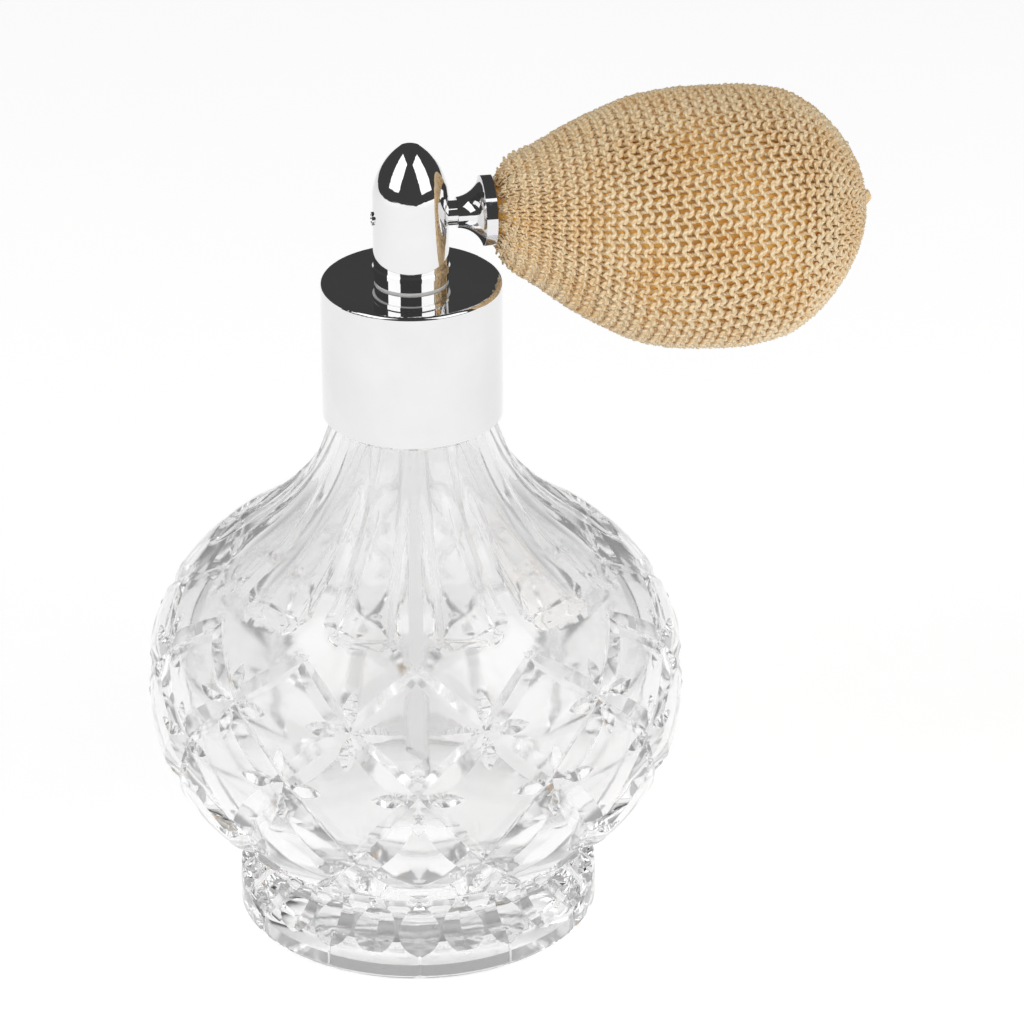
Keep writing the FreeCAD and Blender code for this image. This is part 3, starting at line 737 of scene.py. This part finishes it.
def bottle():
    """The cut crystal bottle, one closed mesh: cut outside, threaded neck and smooth hollow."""
    line = OutsideLine()
    pattern = CutPattern(line)
    t, s, triangles = half_column_mesh(pattern)
    depth = pattern.depth(t, s)
    out_r, out_z = line.normal(s)
    radius = line.radius(s) - depth * out_r
    height = line.height(s) - depth * out_z
    height = np.where(s <= 1e-6, FOOT_LIFT, height)
    points, faces = [], []
    for column in range(UNITS):
        base = len(points)
        local = t if column % 2 == 0 else 1 - t
        angle = FIRST_COLUMN + (column + local) * UNIT_ANGLE
        points += list(zip(radius * np.cos(angle), radius * np.sin(angle), height))
        for f in triangles:
            face = [base + i for i in f]
            faces.append(face if column % 2 == 0 else face[::-1])

    def ring(columns, radii, z):
        first = len(points)
        heights = np.broadcast_to(z, columns.shape)
        points.extend(zip(radii * np.cos(columns), radii * np.sin(columns), heights))
        return list(range(first, first + len(columns)))

    def join(low, high):
        for i in range(len(low)):
            j = (i + 1) % len(low)
            faces.append((low[i], low[j], high[j], high[i]))

    def edge_columns(at_s):
        on_edge = np.abs(s - at_s) < 1e-6
        found = {}
        for column in range(UNITS):
            local = t[on_edge] if column % 2 == 0 else 1 - t[on_edge]
            for place, r, z in zip(local, radius[on_edge], height[on_edge]):
                found[round(float(column + place), 7) % UNITS] = (float(r), float(z))
        places = sorted(found)
        radii, heights = np.array([found[p] for p in places]).T
        return FIRST_COLUMN + np.array(places) * UNIT_ANGLE, radii, heights

    columns, edge_radii, edge_heights = edge_columns(line.total())
    last = ring(columns, edge_radii, edge_heights)
    neck_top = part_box("bottle_glass")[1].z / MM
    steps = [BODY_OUTLINE[-1][0], *PLAIN_NECK_Z, *np.arange(*THREADED_NECK_Z), NECK_SHOULDER_Z,
             neck_top - 0.25]
    turned = (columns - FIRST_COLUMN) % TURN
    for z in steps:
        radii = np.full(len(columns), NECK_ROOT)
        for lap in range(math.ceil(THREAD_TURNS)):
            share = (turned / TURN + lap) / THREAD_TURNS
            middle = THREAD_START_Z + THREAD_PITCH * (turned / TURN + lap)
            fade = np.clip(np.minimum(share, 1 - share) / THREAD_FADE, 0, 1)
            flank = np.clip((THREAD_HALF_WIDTH - np.abs(z - middle)) / THREAD_FLANK, 0, 1)
            radii = np.maximum(radii, NECK_ROOT + flank * THREAD_HEIGHT * fade)
        fresh = ring(columns, radii, z)
        join(last, fresh)
        last = fresh
    rim = ((NECK_ROOT - 0.1, neck_top - 0.07), (NECK_ROOT - 0.28, neck_top), (NECK_BORE + 0.35, neck_top),
           (NECK_BORE + 0.1, neck_top - 0.1))
    hollow = steady_curve(CAVITY_OUTLINE)
    heights = np.concatenate((np.linspace(neck_top - 0.6, 80, 8), np.linspace(78, 20, 62), (19, 18.2, 17.6)))
    inside = list(rim) + [(float(hollow(z)), float(z)) for z in heights] + list(CAVITY_CORNER)
    inside += [(r, CAVITY_FLOOR_Z) for r in (14, 9, 5, 2)]
    for r, z in inside:
        fresh = ring(columns, np.full(len(columns), r), z)
        join(last, fresh)
        last = fresh
    middle = len(points)
    points.append((0, 0, CAVITY_FLOOR_Z))
    faces.extend((last[i], last[(i + 1) % len(last)], middle) for i in range(len(last)))
    columns, edge_radii, edge_heights = edge_columns(0.0)
    last = ring(columns, edge_radii, edge_heights)
    for r, z in FOOT_RECESS:
        fresh = ring(columns, np.full(len(columns), float(r)), z)
        join(fresh, last)
        last = fresh
    middle = len(points)
    points.append((0, 0, FOOT_RECESS[-1][1]))
    faces.extend((last[(i + 1) % len(last)], last[i], middle) for i in range(len(last)))

    piece = mesh_piece("cut_bottle", points, faces, "bottle", GLASS, merge=MERGE)
    piece.data.set_sharp_from_angle(angle=SHARP_ANGLE)
    piece.data.materials.append(GLASS_INSIDE)
    for face in piece.data.polygons:
        middle = face.center / MM
        if CAVITY_FLOOR_Z - 0.05 < middle.z < neck_top - 1 and middle.xy.length < hollow(middle.z) + 0.4:
            face.material_index = 1
    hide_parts("bottle_glass")


# -------------------------------------------------------------------- the bulb
BULB_ROOT = 9.0                 # mm from the bottle's axis, where the bulb's centre line begins
BULB_PIVOT = Vector((BULB_ROOT, 0.0, 106.1))
BULB_TILT = math.radians(3.5)
BULB_ALONG = Vector((math.cos(BULB_TILT), 0, -math.sin(BULB_TILT)))
BULB_UP = Vector((math.sin(BULB_TILT), 0, math.cos(BULB_TILT)))
BULB_SAG = 1.5
BULB_SAG_SPAN = 55.0
BULB_THINNEST = 0.25
BULB_OUTLINE = (
    (11.42, 4.3), (13.4, 7.7), (17.2, 9.9), (21.6, 12.5), (26.5, 15.0), (32, 17.1), (38, 18.0), (45, 18.1),
    (51.2, 17.2), (55.4, 14.9), (58.6, 11.8), (61.2, 8.3), (62.8, 5.0), (63.5, 2.6),
)
WALES = 48
COURSE = 1.72
NET_DEPTH = 1.3
LOOP_POINTS = 10
LOOP_REACH = 0.78               # how far a loop reaches up and down, in courses
LOOP_BEND = 0.165               # how far its sides swing, in wales
LOOP_LEAN = 0.02
LOOP_LIFT = 0.42                # how far it stands in and out of the net's surface
COURSE_START = 0.35
COURSE_SHIFT = 0.10             # each course sits this many wales round from the last
UNEVENNESS = 0.035
YARN_RADIUS = 0.355
CROWDED_WALE = 1.75             # where the wales are narrower than this, the yarn thins
GATHER_LENGTH = 9.0
GATHER_DEPTH = 0.55
GATHER_FOLDS = 12

BLADDER_INSET = NET_DEPTH - 0.25
BLADDER_INSIDE_INSET = NET_DEPTH + 1.3
BLADDER_START = 0.4
BLADDER_HOLE = 1.5              # mm short of the tail, where the intake valve sits
BLADDER_COLUMNS = 72
BLADDER_ROWS = 60
BLADDER_WOBBLE = 0.12
CUFF_OUTSIDE = ((9.75, 3.1), (10.2, 3.45), (11.2, 3.5))
CUFF_INSIDE = ((11.2, 2.6), (9.75, 2.55))

BINDING_TURNS = 3.5
BINDING_YARN = 0.36
TAIL_LIFT = 1.2                 # the tail's knot sits this far above the centre line


def bulb_axis_point(s):
    """A point on the bulb's slightly drooping centre line, s mm from the bottle's axis."""
    sag = BULB_SAG * math.sin(math.pi * min(max((s - BULB_ROOT) / BULB_SAG_SPAN, 0), 1))
    return BULB_PIVOT + BULB_ALONG * (s - BULB_ROOT) - BULB_UP * sag


def off_axis(middle, radius, angle, lift=0.0):
    """A point round a point of the centre line, at this angle from the top."""
    up = lift + radius * math.cos(angle)
    return tuple(middle + BULB_UP * up + Vector((0, radius * math.sin(angle), 0)))


class BulbSkin:
    """The bulb's outer surface: a point and its outward direction by length along it and angle."""

    def __init__(self, inset):
        s = np.linspace(BULB_OUTLINE[0][0], BULB_OUTLINE[-1][0], 1200)
        r = steady_curve(BULB_OUTLINE)(s)
        length = np.concatenate(([0], np.cumsum(np.hypot(np.diff(s), np.diff(r)))))
        ds, dr = np.gradient(s, length), np.gradient(r, length)
        size = np.hypot(ds, dr)
        self.length, self.out_s, self.out_r = length, -dr / size, ds / size
        self.s, self.r = s, r
        self.inset = inset

    def total(self):
        return float(self.length[-1])

    def points(self, length, angle, lift):
        """Arrays of points in mm at these lengths and angles, lifted off the inset surface."""
        length = np.clip(length, 0, self.length[-1])
        s = np.interp(length, self.length, self.s)
        r = np.interp(length, self.length, self.r)
        out_s = np.interp(length, self.length, self.out_s)
        out_r = np.interp(length, self.length, self.out_r)
        off = lift - self.inset
        along, r = s + out_s * off - BULB_ROOT, np.maximum(r + out_r * off, BULB_THINNEST)
        up = r * np.cos(angle) - BULB_SAG * np.sin(math.pi * np.clip(along / BULB_SAG_SPAN, 0, 1))
        return np.column_stack((
            BULB_PIVOT.x + BULB_ALONG.x * along + BULB_UP.x * up,
            r * np.sin(angle),
            BULB_PIVOT.z + BULB_ALONG.z * along + BULB_UP.z * up,
        ))


def tube_mesh(paths, sides):
    """Points, faces and yarn map of round tubes along paths: (centre points, radii, closed)."""
    points, faces, yarn_map = [], [], []
    for centres, radii, closed in paths:
        count = len(centres)
        if closed:
            ahead = np.roll(centres, -1, 0) - np.roll(centres, 1, 0)
        else:
            ahead = np.gradient(centres, axis=0)
        ahead /= np.linalg.norm(ahead, axis=1)[:, None]
        middle = centres.mean(0)
        hint = centres - middle
        if not closed:
            hint = np.tile(np.array([0.31, 0.17, 0.93]), (count, 1))
        side = np.cross(ahead, hint)
        side /= np.maximum(np.linalg.norm(side, axis=1)[:, None], 1e-9)
        over = np.cross(side, ahead)
        run = np.concatenate(([0], np.cumsum(np.linalg.norm(np.diff(centres, axis=0), axis=1))))
        base = len(points)
        for k in range(sides):
            a = TURN * k / sides
            ring = centres + (side * math.cos(a) + over * math.sin(a)) * np.asarray(radii)[:, None]
            points.extend(ring)
        last = count if closed else count - 1
        gap = float(np.linalg.norm(centres[0] - centres[-1]))
        for k in range(sides):
            k2 = (k + 1) % sides
            for i in range(last):
                i2 = (i + 1) % count
                faces.append((base + k * count + i, base + k * count + i2,
                              base + k2 * count + i2, base + k2 * count + i))
                u0, u1 = run[i], run[i] + gap if i2 == 0 else run[i2]
                v0, v1 = k / sides, (k + 1) / sides
                yarn_map.extend(((u0, v0), (u1, v0), (u1, v1), (u0, v1)))
        if not closed:
            for i in (0, count - 1):
                cap = tuple(base + k * count + i for k in range(sides))
                faces.append(cap if i == 0 else cap[::-1])
                yarn_map.extend((run[i], k / sides) for k in range(sides))
    return points, faces, yarn_map


def yarn_piece(name, paths, body, sides=5):
    points, faces, yarn_map = tube_mesh(paths, sides)
    mesh = bpy.data.meshes.new(name)
    mesh.from_pydata((np.array(points) * MM).tolist(), [], faces)
    layer = mesh.uv_layers.new(name="yarn")
    layer.data.foreach_set("uv", np.array(yarn_map, np.float32).ravel())
    mesh.update()
    mesh.materials.append(YARN)
    mesh.polygons.foreach_set("use_smooth", [True] * len(mesh.polygons))
    piece = add_object(name, mesh)
    tidy_mesh(mesh)
    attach(piece, body)
    return piece


def knitted_net():
    """A jersey tube, purl side out: closed courses whose loops hook into their neighbours."""
    skin = BulbSkin(NET_DEPTH * 0.5)
    draws = np.random.default_rng(7)
    courses = round(skin.total() / COURSE) - 1
    course = skin.total() / (courses + 0.6)
    t = np.arange(WALES * LOOP_POINTS) / LOOP_POINTS
    turn = TURN * t
    bend = LOOP_BEND * np.sin(2 * turn)
    paths = []
    for j in range(courses):
        start = course * (j + COURSE_START)
        r = float(np.interp(start, skin.length, skin.r))
        crowd = min(1.0, TURN * r / WALES / CROWDED_WALE)
        uneven = np.resize(draws.normal(0, UNEVENNESS, WALES), WALES + 1)
        nudge = np.interp(t, np.arange(WALES + 1), uneven)
        around = (t + COURSE_SHIFT * j + bend + LOOP_LEAN * np.sin(turn)) * TURN / WALES
        along = start + LOOP_REACH * course * np.cos(turn) + nudge * 2.0
        gather = GATHER_DEPTH * max(0.0, 1 - start / GATHER_LENGTH) * np.cos(GATHER_FOLDS * around)
        lift = LOOP_LIFT * np.cos(2 * turn) * (0.45 + 0.55 * crowd) + gather + nudge
        centres = skin.points(along, around, lift)
        thick = YARN_RADIUS * crowd ** 0.75 * (1 + 0.05 * np.sin(t * 1.7 + j))
        paths.append((centres, thick, True))
    piece = yarn_piece("knitted_net", paths, "head")
    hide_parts("bulb_net")
    return piece


def rubber_bladder():
    """The rubber bulb under the net, with a neck for the spigot and a hole for the intake valve."""
    outer, inner = BulbSkin(BLADDER_INSET), BulbSkin(BLADDER_INSIDE_INSET)
    angle = np.arange(BLADDER_COLUMNS) / BLADDER_COLUMNS * TURN
    lengths = np.linspace(BLADDER_START, outer.total() - BLADDER_HOLE, BLADDER_ROWS)
    rings = [[off_axis(bulb_axis_point(s), r, a) for a in angle] for s, r in CUFF_OUTSIDE]
    for length in lengths:
        wobble = BLADDER_WOBBLE * np.sin(3 * angle + length * 0.3)
        rings.append(outer.points(np.full(BLADDER_COLUMNS, length), angle, wobble))
    for length in lengths[::-1]:
        rings.append(inner.points(np.full(BLADDER_COLUMNS, length), angle, 0))
    rings += [[off_axis(bulb_axis_point(s), r, a) for a in angle] for s, r in CUFF_INSIDE]
    points = [point for ring in rings for point in ring]
    faces = []
    for number in range(len(rings)):
        a = number * BLADDER_COLUMNS
        b = (number + 1) % len(rings) * BLADDER_COLUMNS
        for i in range(BLADDER_COLUMNS):
            j = (i + 1) % BLADDER_COLUMNS
            faces.append((a + i, a + j, b + j, b + i))
    piece = mesh_piece("rubber_bladder", points, faces, "head", LATEX)
    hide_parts("bulb_bladder")
    return piece


def neck_binding():
    """Three and a half turns of yarn wound round the net's neck."""
    low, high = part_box("net_neck_binding")
    first, last = low.x / MM + 0.15, high.x / MM - 0.15
    radius = (high.y - low.y) / 2 / MM - BINDING_YARN
    count = round(BINDING_TURNS * 40)
    centres = []
    for i in range(count + 1):
        share = i / count
        angle = TURN * BINDING_TURNS * share + 0.6
        s = first + 0.3 + (last - first - 0.6) * share
        middle = BULB_PIVOT + BULB_ALONG * (s - BULB_ROOT)
        centres.append(off_axis(middle, radius + 0.05 * math.sin(5 * angle), angle))
    paths = [(np.array(centres), np.full(len(centres), BINDING_YARN), False)]
    piece = yarn_piece("neck_binding", paths, "head", sides=8)
    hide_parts("net_neck_binding")


def tail_knot():
    """The drawstring that closes the net's tail: the gathered end, two turns and a small knot."""
    low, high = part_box("net_tail_tie")
    middle_s = BULB_ROOT + ((low.x + high.x) / 2 / MM - BULB_PIVOT.x) / BULB_ALONG.x
    turns = []
    for i in range(81):
        middle = bulb_axis_point(middle_s - 0.9 + 0.6 * i / 80)
        turns.append(off_axis(middle, 0.85 - 0.2 * i / 80, TURN * 2.2 * i / 80, TAIL_LIFT))
    knot = []
    for i in range(60):
        angle = TURN * i / 60
        middle = bulb_axis_point(middle_s - 0.35 + 0.24 * math.sin(3 * angle))
        knot.append(off_axis(middle, 0.42 + 0.2 * math.cos(3 * angle), 2 * angle, TAIL_LIFT))
    paths = [(np.array(turns), np.full(len(turns), 0.33), False),
             (np.array(knot), np.full(len(knot), 0.3), True)]
    piece = yarn_piece("tail_knot", paths, "head", sides=8)
    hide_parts("net_tail_tie")


bottle()
bladder_piece = rubber_bladder()
net_piece = knitted_net()
neck_binding()
tail_knot()

for soft_piece in (net_piece, bladder_piece):
    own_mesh(soft_piece)


# --------------------------------------------------------- floor, light, camera
FLOOR_HALF = 0.8


def studio_floor():
    """A sheet of white paper, lit a little from within so that it stays pale."""
    mesh = bpy.data.meshes.new("studio_floor")
    near, far = -FLOOR_HALF, FLOOR_HALF
    corners = [(near, near, 0), (far, near, 0), (far, far, 0), (near, far, 0)]
    mesh.from_pydata(corners, [], [(0, 1, 2, 3)])
    floor = add_object("studio_floor", mesh)
    material, tree, shader = new_material("white_paper_floor")
    set_shader(shader, Roughness=0.9, Specular_IOR_Level=0.1, Emission_Strength=0.35)
    set_shader(shader, Emission_Color=(1, 1, 1, 1))
    tone = place_group(tree, MOTTLE, Light=(0.93, 0.93, 0.93, 1), Dark=(0.92, 0.92, 0.92, 1),
                       Patch_Size=6.0, Grain_Size=300.0, Grain=0.2)
    tree.links.new(tone.outputs["Color"], shader.inputs["Base Color"])
    mesh.materials.append(material)


# sines of the two elevations between which the grey changes, then the greys below and above
TENT = (0.0, 0.6, 0.92, 0.40)
MIRRORED_ROOM = (-0.20, -0.15, 0.95, 0.055)
MIRROR_BOUNCES = 3.5
BACKDROP = 0.97


def studio_world():
    """A pale tent round the object, grey overhead, that polished metal sees as a dark room."""
    world = bpy.data.worlds.new("studio_world")
    world.use_nodes = True
    tree = world.node_tree
    split = add_node(tree, "ShaderNodeSeparateXYZ")
    place = add_node(tree, "ShaderNodeTexCoord")
    tree.links.new(place.outputs["Generated"], split.inputs["Vector"])

    def sky(low, high, low_grey, high_grey):
        return remap(tree, split.outputs["Z"], low, high, To_Min=low_grey, To_Max=high_grey)

    def mix(share, first, second):
        node = add_node(tree, "ShaderNodeMix", data_type="FLOAT")
        feed(tree, share, node.inputs["Factor"])
        feed(tree, first, node.inputs["A"])
        feed(tree, second, node.inputs["B"])
        return node.outputs["Result"]

    path = add_node(tree, "ShaderNodeLightPath").outputs
    glossy, through = path["Is Glossy Ray"], path["Is Transmission Ray"]
    only_glossy = maths(tree, "SUBTRACT", glossy, through, use_clamp=True)
    few_bounces = maths(tree, "LESS_THAN", path["Ray Depth"], MIRROR_BOUNCES)
    mirrored = maths(tree, "MULTIPLY", only_glossy, few_bounces)
    room = mix(mirrored, sky(*TENT), sky(*MIRRORED_ROOM))
    seen = mix(path["Is Camera Ray"], room, BACKDROP)
    tree.links.new(seen, tree.nodes["Background"].inputs["Color"])
    bpy.context.scene.world = world


def soft_light(name, place, aim, wide, tall, power):
    data = bpy.data.lights.new(name, "AREA")
    data.shape, data.size, data.size_y, data.energy = "RECTANGLE", wide, tall, power
    lamp = add_object(name, data)
    lamp.location = place
    lamp.rotation_euler = (Vector(aim) - Vector(place)).to_track_quat("-Z", "Y").to_euler()


studio_floor()
studio_world()
LIGHT_AIM = (0, 0, 0.1)
soft_light("left_softbox", (-0.82, -0.40, 0.78), LIGHT_AIM, wide=0.80, tall=1.10, power=4.0)
soft_light("right_softbox", (0.64, -0.66, 0.74), LIGHT_AIM, wide=0.80, tall=1.15, power=4.0)

camera_data = bpy.data.cameras.new("studio_camera")
camera_data.lens, camera_data.sensor_width = 194.9, 36.0
camera_data.clip_start, camera_data.clip_end = 0.05, 20.0
camera = add_object("studio_camera", camera_data)
camera.location = (-0.1064, -0.6822, 0.4117)
CAMERA_PAN = Matrix.Rotation(math.radians(-10), 3, "Z")
CAMERA_TILT = Matrix.Rotation(math.radians(63.06), 3, "X")
CAMERA_ROLL = Matrix.Rotation(math.radians(-0.16), 3, "Z")
camera.rotation_euler = (CAMERA_PAN @ CAMERA_TILT @ CAMERA_ROLL).to_euler()
bpy.context.scene.camera = camera
bpy.context.scene.view_settings.view_transform = "Standard"
